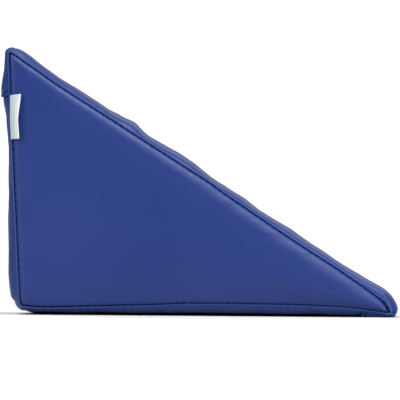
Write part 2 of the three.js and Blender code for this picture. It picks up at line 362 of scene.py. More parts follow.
print("the tuck is", round(float(tuck_depth(TUCK["angle"])), 2), "mm deep")

# %% Stations
BOW_REACH = 8
TIP_REACH = 20.0
CORNER_HOLD = (2, 8)


def lay_on_arc(s, chosen, local, run, before):
    """Fills in the stations on the arc that rounds a run's first corner off."""
    share = local / run["arc"]
    angle = run["turn"] * (1 - share)
    x, z = run["outward"]
    outward = np.stack([x * np.cos(angle) - z * np.sin(angle), x * np.sin(angle) + z * np.cos(angle)], 1)
    s["outward"][chosen] = outward
    s["point"][chosen] = run["centre"] + outward * run["radius"]
    arriving = heights_at(before, np.array(before["length"] - before["end_cut"]))
    leaving = heights_at(run, np.array(run["cut"]))
    s["heights"][chosen] = lerp(arriving, leaving, share[:, None])
    if run["name"] == TUCK["run"]:
        s["tuck"][chosen] = tuck_depth(np.arctan2(outward[:, 1], outward[:, 0]))


def lay_on_line(s, chosen, local, run):
    """Fills in the stations on a run's straight stretch, which bows between its corners."""
    at = local - run["arc"] + run["cut"]
    clear = np.minimum(at - run["cut"], run["length"] - run["end_cut"] - at)
    bow = read(run["rows"], "bow", at) * smoothstep(clear, 0, BOW_REACH)
    s["outward"][chosen] = run["outward"]
    s["point"][chosen] = run["start"] + at[:, None] * run["along"] + bow[:, None] * run["outward"]
    s["heights"][chosen] = heights_at(run, at)
    s["past"][chosen], s["lean"][chosen] = past_fold(run["name"], at)


def lay_stations(places):
    """Arrays over the stations: seam point, outward direction, heights, lap, tuck and how tight the seam is.
    The seam is drawn in at its tightest round the corners and at the toe's tip."""
    count = len(places)
    s = {"place": places, "point": np.zeros((count, 2)), "outward": np.zeros((count, 2)),
         "heights": np.zeros((count, 7)), "past": np.full(count, NO_LAP), "lean": np.zeros(count),
         "tuck": np.zeros(count)}
    for i, (run, first) in enumerate(zip(runs, run_starts)):
        local = places - first
        on_arc = (local >= 0) & (local < run["arc"])
        on_line = (local >= run["arc"]) & (local < run["arc"] + run["straight"])
        lay_on_arc(s, on_arc, local[on_arc], run, runs[i - 1])
        lay_on_line(s, on_line, local[on_line], run)
    to_tip = np.linalg.norm(s["point"] - runs[-1]["start"], axis=1)
    held = np.maximum(hill(to_tip, TIP_REACH), 1 - smoothstep(corner_gap(places), *CORNER_HOLD))
    s["tight"] = np.maximum(s["heights"][:, -1], held)
    return s


print("100 mm round the seam lies at", lay_stations(np.array([100.0]))["point"][0].round(1), "mm")

# %% Close stations at laps and corners
PER_STITCH = 5
FAN_STEP = math.radians(9)
CLOSEST = 0.3
AT_EDGE = [-0.5, -0.03, 0.1, 0.35, 0.7]
PAST_STRAIGHT_EDGE = [0.55 * k for k in range(2, 9)]
ROUND_LEANING_EDGE = [0.35 * k for k in range(-10, 14)]


def lay_places():
    """Even places round the seam, with close ones at each lap's folded edge and round each corner."""
    even = np.arange(stitches_round * PER_STITCH) * pitch / PER_STITCH
    close = []
    for lap in LAPS:
        ahead = 1 if lap["ahead"] else -1
        shifts = AT_EDGE + (ROUND_LEANING_EDGE if lap["lean"] else PAST_STRAIGHT_EDGE)
        close += [place_of(lap["name"], lap["at"]) + ahead * shift for shift in shifts]
    for run, first in zip(runs, run_starts):
        steps = math.ceil(run["turn"] / FAN_STEP)
        if run["arc"] / steps < pitch / PER_STITCH:
            close += [first + run["arc"] * k / steps for k in range(steps + 1)]
    kept = [place for place in even if min(abs(place - other) for other in close) > CLOSEST]
    return np.array(sorted(set(kept + close)))


stations = lay_stations(lay_places())
print("stations round the seam:", len(stations["place"]))

# %% [markdown]
# ## Small folds beside the seam
# Thread pulls faux leather into small folds that run out from the seam and fade. Noise could do it, but
# these folds always cross the seam squarely, so a few waves round the seam, each with its own reach, look
# more like sewing. Slower waves over the whole band stand for the foam's unevenness, and the back has faint
# creases along it. The cloth also dips a little at each needle hole.

# %% Folds at the seam
PUCKERS = table(
    "count height reach turn",
    (21, 0.16, 26, 0.4),
    (34, 0.13, 15, 2.1),
    (55, 0.09, 9, 4.4),
    (89, 0.06, 6, 1.3),
)
PATCHES = {"count": 5, "turn": 1.7, "least": 0.65, "swing": 0.35}
FOLD_START = (0.3, 2.0)
PRESS_START = (0.1, 0.29)
PLAIN_SHIFT = 0.37
HOLE = {"depth": 0.22, "reach": 2.6}


def press(place, side):
    """1 under the middle of a stitch and 0 at the needle holes between two."""
    phase = (place / pitch + (PLAIN_SHIFT if side > 0 else 0.0)) % 1.0
    return smoothstep(0.5 - np.abs(phase - 0.5), *PRESS_START)


def folds(place, inset, side):
    """The height of the small folds at an inset from a seam, and of the dimples at its needle holes."""
    angle = 2 * np.pi * place / seam_length
    patchy = PATCHES["least"] + PATCHES["swing"] * np.sin(PATCHES["count"] * angle + PATCHES["turn"] * side)
    waves = [height * np.exp(-inset / reach) * np.cos(count * angle + turn * side)
             for count, height, reach, turn in zip(*PUCKERS.values())]
    holes = (1 - press(place, side)) * smoothstep(corner_gap(place), *CORNER_HOLD)
    dimple = HOLE["depth"] * holes * np.exp(-inset / HOLE["reach"])
    return (patchy * sum(waves) - dimple) * smoothstep(inset, *FOLD_START)


print("deepest fold 3 mm from the seam:", round(float(folds(stations["place"], 3.0, -1).min()), 2), "mm")

# %% Unevenness of the band
SWELLS = table(
    "count across height turn",
    (7, 0.013, 0.30, 0.9),
    (12, -0.021, 0.22, 3.3),
    (19, 0.034, 0.14, 5.1),
)
SWELL_START = (4, 30)
STREAK = {"height": 0.11, "pitch": 2.7, "drift": 45.0, "sway": 2.4, "reach": 9.0, "start": (0.5, 2),
          "facing": 6}


def swells(place, inset, side):
    """The slow unevenness of the band, which dies out towards the seams."""
    angle = 2 * np.pi * place / seam_length
    y = side * (SEAM_PLANE - inset)
    waves = [height * np.sin(count * angle + 2 * np.pi * across * y + turn)
             for count, across, height, turn in zip(*SWELLS.values())]
    return sum(waves) * smoothstep(inset, *SWELL_START)


def streaks(s, inset, side):
    """Faint creases along the tall back's band, where the cloth was stretched lengthwise."""
    on_back = np.clip(-s["outward"][:, 0], 0, 1) ** STREAK["facing"]
    phase = 2 * np.pi * inset / STREAK["pitch"] + STREAK["sway"] * np.sin(s["place"] / STREAK["drift"] + side)
    faded = np.exp(-inset / STREAK["reach"]) * smoothstep(inset, *STREAK["start"])
    return STREAK["height"] * on_back * np.sin(phase) * faded


print("the band's slow swells reach", round(float(swells(stations["place"], 60.0, -1).max()), 2), "mm")

# %% [markdown]
# ## The profile across the seam
# Seen end on, a pulled seam isn't a plain corner. The panel rolls down into a groove, the thread lies in it,
# and the band's edge stands up as a thin lip before the band rolls away. Between two stitches the cloth
# rises in the groove, because the thread goes down there and doesn't press on it. The lip and the groove are
# under a millimetre high, but their shine is what makes a sewn edge look sewn.

# %% The groove
GROOVE_DEPTH = 1.2
GROOVE_AT_HOLE = 0.05


def drawn_in(s, side):
    """How far the thread has drawn the groove in: all the way under a stitch, and less at a needle hole."""
    return lerp(s["tight"], 1.0, press(s["place"], side))


def groove_depth(s, side):
    return GROOVE_DEPTH * lerp(GROOVE_AT_HOLE, 1.0, drawn_in(s, side))


print("shallowest groove:", round(float(groove_depth(stations, -1).min()), 2), "mm")

# %% [markdown]
# ## Room for buckles
# The band also buckles a little where the filling pushes it. A simulation finds these heights later, on a
# coarse grid over the band, and stores them here. Between the grid's points they are read with a smooth
# spline, because straight lines between them would shine as creases.

# %% Buckles of the band
SHEET_ROWS = 30
SHEET_DEPTHS = np.linspace(-SEAM_PLANE, SEAM_PLANE, SHEET_ROWS)
buckles = np.zeros((SHEET_ROWS, stitches_round))


def spline_weights(t):
    """How much each of four neighbours counts, so that heights between coarse points have no creases."""
    return [(1 - t) ** 3 / 6, (3 * t ** 3 - 6 * t ** 2 + 4) / 6,
            (1 + 3 * t + 3 * t ** 2 - 3 * t ** 3) / 6, t ** 3 / 6]


def buckle_at(place, inset, side):
    """The band's simulated buckles, which are all zero until the simulation below has run."""
    row = (side * (1 - inset / SEAM_PLANE) + 1) / 2 * (SHEET_ROWS - 1)
    column = place / pitch
    i, j = np.floor(row).astype(int), np.floor(column).astype(int)
    height = 0.0
    for a, across in enumerate(spline_weights(row - i)):
        for b, along in enumerate(spline_weights(column - j)):
            near = np.clip(i + a - 1, 0, SHEET_ROWS - 1), (j + b - 1) % stitches_round
            height = height + across * along * buckles[near]
    return height


print("the coarse grid has", buckles.size, "points")

# %% [markdown]
# ## The band's rows
# A row of the band lies at one inset from its seam, all the way round. The roll lifts it steeply beside the
# seam, the crown lifts it slowly towards the middle of the depth, and laps, folds, unevenness and buckles
# are added on top.

# %% How far the band stands out
LIP_OUT = 0.65
LIP_CLEAR = {"from": 0.3, "out": 2 * LIP_OUT, "lean": 0.02}
LAP_START = (0, 3)


def band_out(s, inset, side):
    """How far the band stands out of the seam's line at an inset from the tagged (-1) or plain (+1) seam."""
    across = smoothstep(side * (SEAM_PLANE - inset), -SEAM_PLANE / 2, SEAM_PLANE / 2)
    tagged_roll, tagged_crown, plain_roll, plain_crown, wide, bevel, _ = s["heights"].T
    roll = tagged_roll if side < 0 else plain_roll
    crown = lerp(tagged_crown, plain_crown, across)
    rolled = (1 - (1 - np.clip(inset / wide, 0, 1)) ** bevel) ** (1 / bevel)
    swelled = 1 - (1 - inset / SEAM_PLANE) ** 3
    lapped = lap_height(past_at(s, inset)) * smoothstep(inset, *LAP_START)
    uneven = folds(s["place"], inset, side) + swells(s["place"], inset, side) + streaks(s, inset, side)
    return roll * rolled + crown * swelled + lapped + uneven + buckle_at(s["place"], inset, side)


def at_out(s, out, y):
    """Points in millimetres at a distance out from the seam's line, never below the standing surface."""
    point = s["point"] + s["outward"] * np.reshape(out, (-1, 1))
    return np.stack([point[:, 0], np.broadcast_to(y, len(point)), np.maximum(point[:, 1], 0)], 1)


def band_row(s, inset, side):
    """One row of the band. The tuck draws it in, and past the lip it stays outside the lip."""
    tucked = s["tuck"] * smoothstep(inset, *TUCK["start"]) * (1 - smoothstep(inset, *TUCK["end"]))
    out = band_out(s, inset, side) - TUCK["sunk"] * tucked
    if inset > LIP_CLEAR["from"]:
        out = np.maximum(out, LIP_CLEAR["out"] + LIP_CLEAR["lean"] * inset)
    return at_out(s, out, side * (SEAM_PLANE - inset - tucked))


print("the band stands out by up to", round(float(band_out(stations, SEAM_PLANE, -1).max()), 1), "mm")

# %% The lip at the band's edge
LIP_HIGH = 0.55
LIP_STEPS = 9
LIP_SPREAD = 0.4
LIP_RISE_AT_HOLE = 1.15
GROOVE_ROWS = 3
CREASE = {"depth": 0.45, "rows": 2}


def lip_rows(s, side):
    """The rows of the band's lip, from the bottom of the groove over its crest to the crease behind it."""
    pressed = drawn_in(s, side)
    depth = groove_depth(s, side)
    last = LIP_STEPS - 1
    rows = []
    for k in range(LIP_STEPS):
        angle = math.pi * k / last
        spread = LIP_SPREAD * (1 - pressed) * max(0.0, math.cos(angle))
        out = LIP_OUT * (1 - math.cos(angle)) - spread
        high = LIP_HIGH * math.sin(angle) * lerp(LIP_RISE_AT_HOLE, 1.0, pressed)
        groove = depth * max(0.0, 1 - k / GROOVE_ROWS)
        crease = CREASE["depth"] * max(0.0, k - last + CREASE["rows"]) / CREASE["rows"]
        y = side * (SEAM_PLANE + high - groove - crease)
        rows.append(at_out(s, np.broadcast_to(out, len(pressed)), y))
    return rows


print("the lip is", LIP_HIGH, "mm high and", 2 * LIP_OUT, "mm wide")

# %% [markdown]
# ## Side panels
# A side panel rolls up from the groove, over a rim that is wider at the toe, and then swells slowly to its
# middle. Rows that shrink towards the middle would carry the corners in with them as creases. So the height
# is worked out from the distance to all four edges, joined by a smooth formula.

# %% Side panels
PANEL_CROWN = 2.2
PANEL_FOLDS = 0.6
JOIN_POWER = 2.2
LEAST_GAP = 0.02
CORNER_REACH = 4
THREAD_INSET = 0.3
GROOVE_WIDTH = 0.5


def panel_middle():
    """The point of a side panel that is as far from the back as from the slope and the base."""
    back, slope, _, base = runs

    def crossing(a, b):
        matrix = np.stack([a["along"], -b["along"]], axis=1)
        return a["start"] + a["along"] * np.linalg.solve(matrix, b["start"] - a["start"])[0]

    corners = [crossing(base, back), crossing(back, slope), crossing(slope, base)]
    sides = [np.linalg.norm(corners[i - 2] - corners[i - 1]) for i in range(3)]
    middle = sum(side * corner for side, corner in zip(sides, corners)) / sum(sides)
    return middle, -back["outward"] @ (middle - back["start"])


middle, panel_reach = panel_middle()


def edge_gap(point):
    """How far points of a side panel lie in from its edges, in mm and in widths of the rim, and the rim's
    rise. The edges are joined smoothly, so that no crease runs out of a corner."""
    pull, rim_pull, rise = np.zeros((3, len(point)))
    for run in runs:
        away = point - run["start"]
        at = away @ run["along"]
        share = np.clip(at / run["length"], 0, 1)
        gap = np.maximum(read(run["rows"], "bow", at) - away @ run["outward"], LEAST_GAP)
        pull += gap ** -JOIN_POWER
        near = (gap / lerp(*run["rim"], share)) ** -JOIN_POWER
        rim_pull += near
        rise += lerp(*run["rise"], share) * near
    return pull ** (-1 / JOIN_POWER), rim_pull ** (-1 / JOIN_POWER), rise / rim_pull


def panel_height(s, point, inset, side):
    """How far a side panel stands out of the seam's plane, less what the corners' arcs leave at the seam.
    At the panel's middle three edges are equally near, which is what the 3 stands for."""
    inside, rims, rise = edge_gap(point)
    seam_inside, seam_rims, _ = edge_gap(s["point"])
    at_seam = math.exp(-inset / CORNER_REACH)
    inside = np.maximum(inside - seam_inside * at_seam, 0)
    rims = np.clip(rims - seam_rims * at_seam, 0, 1)
    rolled = np.sqrt(1 - (1 - rims) ** 2)
    swelled = 1 - (1 - np.minimum(1, inside / (panel_reach * 3 ** (-1 / JOIN_POWER)))) ** 3
    groove = (groove_depth(s, side) + rise * rolled) * math.exp(-(inset / (THREAD_INSET + GROOVE_WIDTH)) ** 4)
    return rise * rolled + PANEL_CROWN * swelled - groove + PANEL_FOLDS * folds(s["place"], inside, side)


def panel_row(s, inset, side):
    """One row of a side panel, at an inset from the seam all the way round."""
    point = middle + (s["point"] - middle) * (1 - inset / panel_reach)
    high = panel_height(s, point, inset, side)
    return np.stack([point[:, 0], side * (SEAM_PLANE + high), point[:, 1]], 1)


print("panel's middle:", middle.round(1), "mm, its reach to the edges:", round(float(panel_reach), 1), "mm")

# %% [markdown]
# ## One closed mesh for the filled cover
# The rows are joined into one closed skin, from the middle of the tagged panel to the middle of the plain
# one. A cover could also be five separate cloths, but they meet at every seam, so one skin leaves no gaps.
# The rows crowd together at the seams, where the surface turns fastest.


# %% From rows to a mesh
def link_mesh(name, positions, faces):
    """A smooth-shaded piece from points in metres."""
    mesh = bpy.data.meshes.new(name)
    mesh.from_pydata([tuple(position) for position in positions], [], faces)
    mesh.polygons.foreach_set("use_smooth", [True] * len(mesh.polygons))
    mesh.update()
    piece = bpy.data.objects.new(name, mesh)
    bpy.context.scene.collection.objects.link(piece)
    return piece


def skin(rows, first, last):
    """Points and faces of a closed mesh from rows that each go once round, with a point at each end."""
    count = len(rows[0])
    positions = np.concatenate([[first], *rows, [last]])
    faces = [(0, 1 + (i + 1) % count, 1 + i) for i in range(count)]
    for r in range(len(rows) - 1):
        a, b = 1 + r * count, 1 + (r + 1) * count
        faces += [(a + i, a + (i + 1) % count, b + (i + 1) % count, b + i) for i in range(count)]
    a, end = 1 + (len(rows) - 1) * count, 1 + len(rows) * count
    faces += [(a + i, a + (i + 1) % count, end) for i in range(count)]
    return positions, faces


def to_metres(points):
    """From a table's millimetres, measured from the back, to the packed model's frame."""
    return (np.asarray(points) - (MIDDLE, 0, 0)) * MM


def mark_points(piece, name, values):
    """Stores one number for each point of a piece, for its material to read."""
    layer = piece.data.attributes.new(name, "FLOAT", "POINT")
    layer.data.foreach_set("value", np.asarray(values, np.float32))


print("the heel's corner lies at x =", round(to_metres((CORNERS["x"][0], 0, 0))[0], 4), "m")

# %% Rows of the cover, and their marks
BAND_INSETS = [0.25, 0.55, 0.9, 1.3, 1.8, 2.4, 3.1, 3.9, 5, 6.5, 9, 12, 16, 22, 30, 40, 52, 66, 82, 99]
PANEL_INSETS = [0.2, 0.5, 0.8, 1.1, 1.5, 2, 2.7, 3.6, 4.7, 6, 7.6, 9.6, 12.5, 16.5, 22, 29, 37, 46, 55]
# Painted shade in the groove: faint at a needle hole, full under a stitch.
SHADE_AT_HOLE = 0.1
LIP_SHADE_ROWS = 2
# How far in from the seam the panel gets its marks: paleness as wear and painted highlight, and painted
# shade.
PANEL_MARKS = {"rubbed_highlit": 1.1, "shaded": 0.7}
# The lip's paleness, partly wear and partly painted highlight, drops to its least where the seam faces up.
LIP_RUB_AND_HIGHLIGHT = {"least": 0.5, "facing": 0.8}


def lip_rub_and_highlight(s):
    """How pale the lip is painted, partly as wear and partly as a painted highlight: most at the back and
    the base, which slide over things, least on the slope.
    """
    return 1 - (1 - LIP_RUB_AND_HIGHLIGHT["least"]) * smoothstep(s["outward"][:, 1], 0.0, LIP_RUB_AND_HIGHLIGHT["facing"])


def band_shade(s, inset):
    """The painted shade along the laps and in the toe's tuck."""
    tucked = np.clip(s["tuck"], 0, 1) * hill(inset, TUCK["shade"])
    return np.maximum(lap_shade(past_at(s, inset)), tucked)


def half_rows(s, side):
    """The rows from a side panel's middle to the last one before the band's middle, each with its marks."""
    pressed = drawn_in(s, side)
    # The rubbed mark is partly wear and partly a painted highlight, on the lip's crest and at the needle
    # holes. The shaded mark is painted shade in the groove.
    scallop = 1 - pressed
    shaded = lerp(SHADE_AT_HOLE, 1.0, pressed)
    panel = [(panel_row(s, inset, side), scallop * math.exp(-(inset / PANEL_MARKS["rubbed_highlit"]) ** 2),
              shaded * math.exp(-(inset / PANEL_MARKS["shaded"]) ** 4)) for inset in PANEL_INSETS]
    lip = []
    for k, row in enumerate(lip_rows(s, side)):
        crest = math.sin(math.pi * k / (LIP_STEPS - 1))
        rubbed_highlit = lip_rub_and_highlight(s) * np.maximum(crest, scallop * (k < GROOVE_ROWS))
        lip.append((row, rubbed_highlit, shaded * max(0.0, 1 - k / LIP_SHADE_ROWS)))
    band = [(band_row(s, inset, side), np.zeros(len(pressed)), band_shade(s, inset)) for inset in BAND_INSETS]
    return panel[::-1] + lip + band


def cover_rows(s):
    """The cover's rows in order, each with two marks at every station: its wear and painted highlight, and
    its painted shade.
    """
    ridge = (band_row(s, SEAM_PLANE, -1), np.zeros(len(s["place"])), band_shade(s, SEAM_PLANE))
    return half_rows(s, -1) + [ridge] + half_rows(s, 1)[::-1]


print("rows across the cover:", 2 * (len(PANEL_INSETS) + LIP_STEPS + len(BAND_INSETS)) + 1)

# %% [markdown]
# ## Letting the filling push the cloth
# The tables give the cover's main form. Cloth that is held at its seams and pushed from inside also buckles a
# little, in ways that nobody would draw, and Blender's Cloth can find them. A coarse closed copy of the cover
# is held at its seams, on its side panels and where it stands. Its cloth is cut a little too large, and
# pressure stands in for the foam. The slow bulge is taken out again, because the tables already hold it. What
# is left is a small height that the fine mesh takes on everywhere between the seams.

# %% Coarse copy of the cover
HELD_INSETS = (50.0, 30.0, 12.0)
UNDERSIDE = -0.3


def cover_ends():
    """The middle points of both side panels."""
    top = SEAM_PLANE + edge_gap(middle[None, :])[2][0] + PANEL_CROWN
    return [to_metres((middle[0], side * top, middle[1])) for side in (-1, 1)]


def coarse_cover(s):
    """A coarse closed copy of the cover, with the points that its seams, side panels and the floor hold."""
    tagged, plain = [[panel_row(s, inset, side) for inset in HELD_INSETS] for side in (-1, 1)]
    band = [band_row(s, SEAM_PLANE - abs(y), -1 if y < 0 else 1) for y in SHEET_DEPTHS]
    rows = tagged + band + plain[::-1]
    positions, faces = skin([to_metres(row) for row in rows], *cover_ends())
    piece = link_mesh("coarse_cover", positions, faces)
    held = np.ones((len(rows), len(s["place"])), bool)
    held[len(tagged) + 1:-len(plain) - 1] = s["outward"][:, 1] < UNDERSIDE
    numbers = 1 + np.flatnonzero(held)
    group = piece.vertex_groups.new(name="held")
    group.add([0, *numbers.tolist(), len(positions) - 1], 1.0, "REPLACE")
    return piece


print("the panels' middles are", round(cover_ends()[1][1] / MM, 1), "mm from the middle of the depth")

# %% Run the cloth
CLOTH_EXCESS = 0.008
FILLING_PRESSURE = 4.0
LAST_FRAME = 20
SMOOTHINGS = 20


def points_of(mesh):
    flat = np.empty(3 * len(mesh.vertices))
    mesh.vertices.foreach_get("co", flat)
    return flat.reshape(-1, 3)


def push_out(piece):
    """How far the filling has moved each point of the coarse copy, in millimetres."""
    cloth = piece.modifiers.new("filling", "CLOTH")
    settings = cloth.settings
    settings.quality = 6
    settings.vertex_group_mass = "held"
    settings.bending_stiffness = 0.3
    settings.shrink_min = -CLOTH_EXCESS
    settings.use_pressure = True
    settings.uniform_pressure_force = FILLING_PRESSURE
    settings.effector_weights.gravity = 0
    cloth.point_cache.frame_end = LAST_FRAME
    for number in range(1, LAST_FRAME + 1):
        bpy.context.scene.frame_set(number)
    settled = piece.evaluated_get(bpy.context.evaluated_depsgraph_get())
    moved = (points_of(settled.data) - points_of(piece.data)) / MM
    bpy.data.objects.remove(piece)
    bpy.context.scene.frame_set(1)
    return moved


def smoothed(field):
    """A field over the coarse grid after its points have been averaged with their neighbours many times."""
    for _ in range(SMOOTHINGS):
        edged = np.pad(field, ((1, 1), (0, 0)), "edge")
        field = (edged[:-2] + edged[2:] + np.roll(field, 1, 1) + np.roll(field, -1, 1)) / 4
    return field


print("the cloth is cut", round(100 * CLOTH_EXCESS, 1), "% too large")

# %% [markdown]
# ## Keeping the outline
# The tables put the outline where it should be, and the buckles would move it. So they are levelled: at each
# station they go down by as much as the band's highest place has risen. What looks highest depends on where
# the camera stands, because deeper places look smaller from there, so its place is named here already.

# %% Where the camera stands
CAMERA_AWAY = 13.0
AIM = Vector((0.0005, -SEAM_PLANE * MM, 0.0876))
print("the camera looks at", [round(value / MM, 1) for value in AIM], "mm from", CAMERA_AWAY, "m away")

# %% Buckles that keep the outline
BUCKLE_CAP = 0.8
LEVELLINGS = 4
LOOKS = 4 * SHEET_ROWS
OFF_SEAM = (3, 20)
OFF_CORNER = (4, 18)


def highest(s):
    """How far the outline lies from the middle of the view at each station, seen from the camera's place."""
    middle_of_view = (MIDDLE + AIM.x / MM, AIM.z / MM)
    span = ((s["point"] - middle_of_view) * s["outward"]).sum(axis=1)
    seen = []
    for y in np.linspace(-SEAM_PLANE, SEAM_PLANE, LOOKS):
        out = band_out(s, SEAM_PLANE - abs(y), -1 if y < 0 else 1)
        seen.append((span + out) * CAMERA_AWAY / (CAMERA_AWAY + (SEAM_PLANE + y) * MM))
    return np.max(seen, axis=0)


def find_buckles():
    """Fills in the buckles, and levels them so that the band's highest places stay where they were."""
    s = lay_stations(np.arange(stitches_round) * pitch)
    before = highest(s)
    moved = push_out(coarse_cover(s))
    first = 1 + len(HELD_INSETS) * stitches_round
    band = moved[first:first + SHEET_ROWS * stitches_round].reshape(SHEET_ROWS, stitches_round, 3)
    out = band[..., 0] * s["outward"][:, 0] + band[..., 2] * s["outward"][:, 1]
    print("the filling pushed the band by up to", round(float(out.max()), 2), "mm")
    fine = np.clip(out - smoothed(out), -BUCKLE_CAP, BUCKLE_CAP)
    off_seam = smoothstep(SEAM_PLANE - np.abs(SHEET_DEPTHS), *OFF_SEAM)
    off_corner = smoothstep(corner_gap(s["place"]), *OFF_CORNER) * (s["outward"][:, 1] > UNDERSIDE)
    free = off_seam[:, None] * off_corner
    buckles[:] = fine * free
    for _ in range(LEVELLINGS):
        buckles[:] -= (highest(s) - before) * free


find_buckles()
print("buckles go from", round(float(buckles.min()), 2), "to", round(float(buckles.max()), 2), "mm")


# %% The cover
def make_cover():
    rows, rubbed_highlit, shaded = zip(*cover_rows(stations))
    positions, faces = skin([to_metres(row) for row in rows], *cover_ends())
    cover = link_mesh("cushion_cover", positions, faces)
    for name, values in (("rubbed_highlit", rubbed_highlit), ("shaded", shaded)):
        mark_points(cover, name, np.concatenate([[0], *values, [0]]))
    return cover


cover = make_cover()
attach(cover, "root")
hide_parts("cushion")
print("cover:", len(cover.data.vertices), "points and", len(cover.data.polygons), "faces")

# %% [markdown]
# ## Stitches
# The seam is a lockstitch: the thread lies in the groove for a stitch, goes down a needle hole and comes up
# for the next. A line drawn in the material would do from afar. Each stitch is a short twisted strand here,
# thick in its middle and diving at both ends, so that it catches light and casts a shadow like thread.

# %% Strands of thread
THREAD = {"length": 3.9, "radius": 0.46, "lobe": 0.08, "twist": 2.2, "dive": 0.8, "sunk": 0.35, "proud": 0.55}
STRAND_STEPS = 9
STRAND_SIDES = 8
TAPER = {"full": 1.02, "power": 4, "least": 0.05}
DIVE_POWER = 3


def strand_shape():
    """Along one stitch: the share of its length, its thickness and how deep it dives."""
    t = np.linspace(-1, 1, STRAND_STEPS)
    thick = np.sqrt(np.clip(TAPER["full"] - t ** TAPER["power"], TAPER["least"], 1))
    return t, thick, THREAD["dive"] * np.abs(t) ** DIVE_POWER


def strands(centres, sideways, upward):
    """Points and faces of many stitches. Each has its path's points, and two directions across it."""
    t, thick, _ = strand_shape()
    angles = np.arange(STRAND_SIDES) * 2 * np.pi / STRAND_SIDES
    turned = angles[None, :] + THREAD["twist"] * t[:, None] * np.pi / 2
    radius = thick[:, None] * (THREAD["radius"] + THREAD["lobe"] * np.cos(2 * (angles[None, :] - turned)))
    ring = (centres[:, :, None, :]
            + (radius * np.cos(angles))[None, :, :, None] * sideways[:, :, None, :]
            + (radius * np.sin(angles))[None, :, :, None] * upward[:, :, None, :])
    return joined(skin(list(stitch), path[0], path[-1]) for stitch, path in zip(ring, centres))


def joined(parts):
    """The points and faces of several parts as one list each."""
    positions, faces = [], []
    for points, quads in parts:
        faces += [tuple(i + len(positions) for i in face) for face in quads]
        positions += list(points)
    return positions, faces


print("a strand is", THREAD["length"], "mm long and", 2 * THREAD["radius"], "mm thick")

# %% Rows of stitches
LABEL = {"top": 159.2, "length": 33.2, "gap": 0.5, "thick": 0.3, "top_slant": 0.14, "foot_slant": 0.06}
LAP_ROW_MARGIN = 8


def across_seam(s, shape):
    """The outward directions of the stations as directions in space."""
    return np.insert(s["outward"], 1, 0, axis=1).reshape(shape)


def seam_stitches(side):
    """The stitches round one panel's seam, left out where the tag covers them."""
    t, _, dive = strand_shape()
    number = np.arange(stitches_round) + (0.5 if side < 0 else 0.5 - PLAIN_SHIFT)
    middles = number * pitch
    if side < 0:
        low, high = (place_of("back", LABEL["top"] - LABEL["length"] * share) for share in (1, 0))
        middles = middles[(middles < low) | (middles > high)]
    places = (middles[:, None] + t * THREAD["length"] / 2) % seam_length
    s = lay_stations(places.ravel())
    sunk = np.tile(THREAD["sunk"] + dive, len(middles))
    inward = np.full(len(sunk), -THREAD_INSET)
    centres = at_out(s, inward, side * (SEAM_PLANE - sunk)).reshape(len(middles), len(t), 3)
    facing = np.broadcast_to((0.0, float(side), 0.0), centres.shape)
    return strands(centres, across_seam(s, centres.shape) * -side, facing)


def lap_stitches(lap):
    """The row of stitches that holds a lap down, across the whole band."""
    t, _, dive = strand_shape()
    at = lap["at"] + LAP_STITCH * (1 if lap["ahead"] else -1)
    count = int((2 * SEAM_PLANE - LAP_ROW_MARGIN) / pitch)
    y = (np.arange(count)[:, None] - (count - 1) / 2) * pitch + t * THREAD["length"] / 2
    flat = y.ravel()
    inset = SEAM_PLANE - np.abs(flat)
    s = lay_stations(place_of(lap["name"], at) + leaned(lap["lean"], inset))
    out = np.where(flat < 0, band_out(s, inset, -1), band_out(s, inset, 1))
    out += THREAD["radius"] * THREAD["proud"] - np.tile(dive, count)
    centres = at_out(s, out, flat).reshape(count, len(t), 3)
    centres[..., 2] = np.maximum(centres[..., 2], THREAD["radius"] + THREAD["lobe"])
    outward = across_seam(s, centres.shape)
    along = np.stack([outward[..., 2], outward[..., 1], -outward[..., 0]], -1)
    return strands(centres, along, outward)


print("the tag covers the seam for", LABEL["length"], "mm")


# %% Sew the seams
def sew(name, parts):
    """Joins several sets of stitches into one piece of thread."""
    positions, faces = joined(parts)
    piece = link_mesh(name, to_metres(positions), faces)
    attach(piece, "root")
    print(name, "has", len(faces), "faces")
    return piece


threads = [
    sew("tagged_seam_thread", [seam_stitches(-1)]),
    sew("plain_seam_thread", [seam_stitches(1)]),
    sew("lap_thread", [lap_stitches(lap) for lap in LAPS]),
]

# %% [markdown]
# ## The woven tag
# The tag is a narrow ribbon folded double, with its cut ends caught in the seam. It is one thin sheet bent
# into a long hairpin: out along the outer layer, round the fold and back along the inner one. Its path is
# read from a short table at its top and at its foot, so that it curls away from the cover a little more at
# the foot, as a tag does when it has been handled.

# %% The ribbon's path
LABEL_PATH = table(
    "at top_across top_out foot_across foot_out",
    (0, -0.2, -0.5, -0.3, -0.5),
    (1, -0.3, 0.6, -0.8, 0.6),
    (2, -0.3, 2.2, -1.1, 2.3),
    (3, 0.1, 4.2, -0.8, 4.5),
    (4, 1.5, 5.9, 0.4, 6.4),
    (5, 4.0, 6.8, 2.1, 7.7),
    (6, 7.2, 7.4, 4.4, 8.3),
)
LAYER_STEPS = 30
FOLD_STEPS = 6
CURL = {"from": -0.05, "to": 0.65, "belly": 0.1}


def directions(path):
    """The direction along a path at each of its points, and the one square to it."""
    ahead = np.gradient(path, axis=0)
    ahead /= np.linalg.norm(ahead, axis=1)[:, None]
    return ahead, np.stack([-ahead[:, 1], ahead[:, 0]], 1)


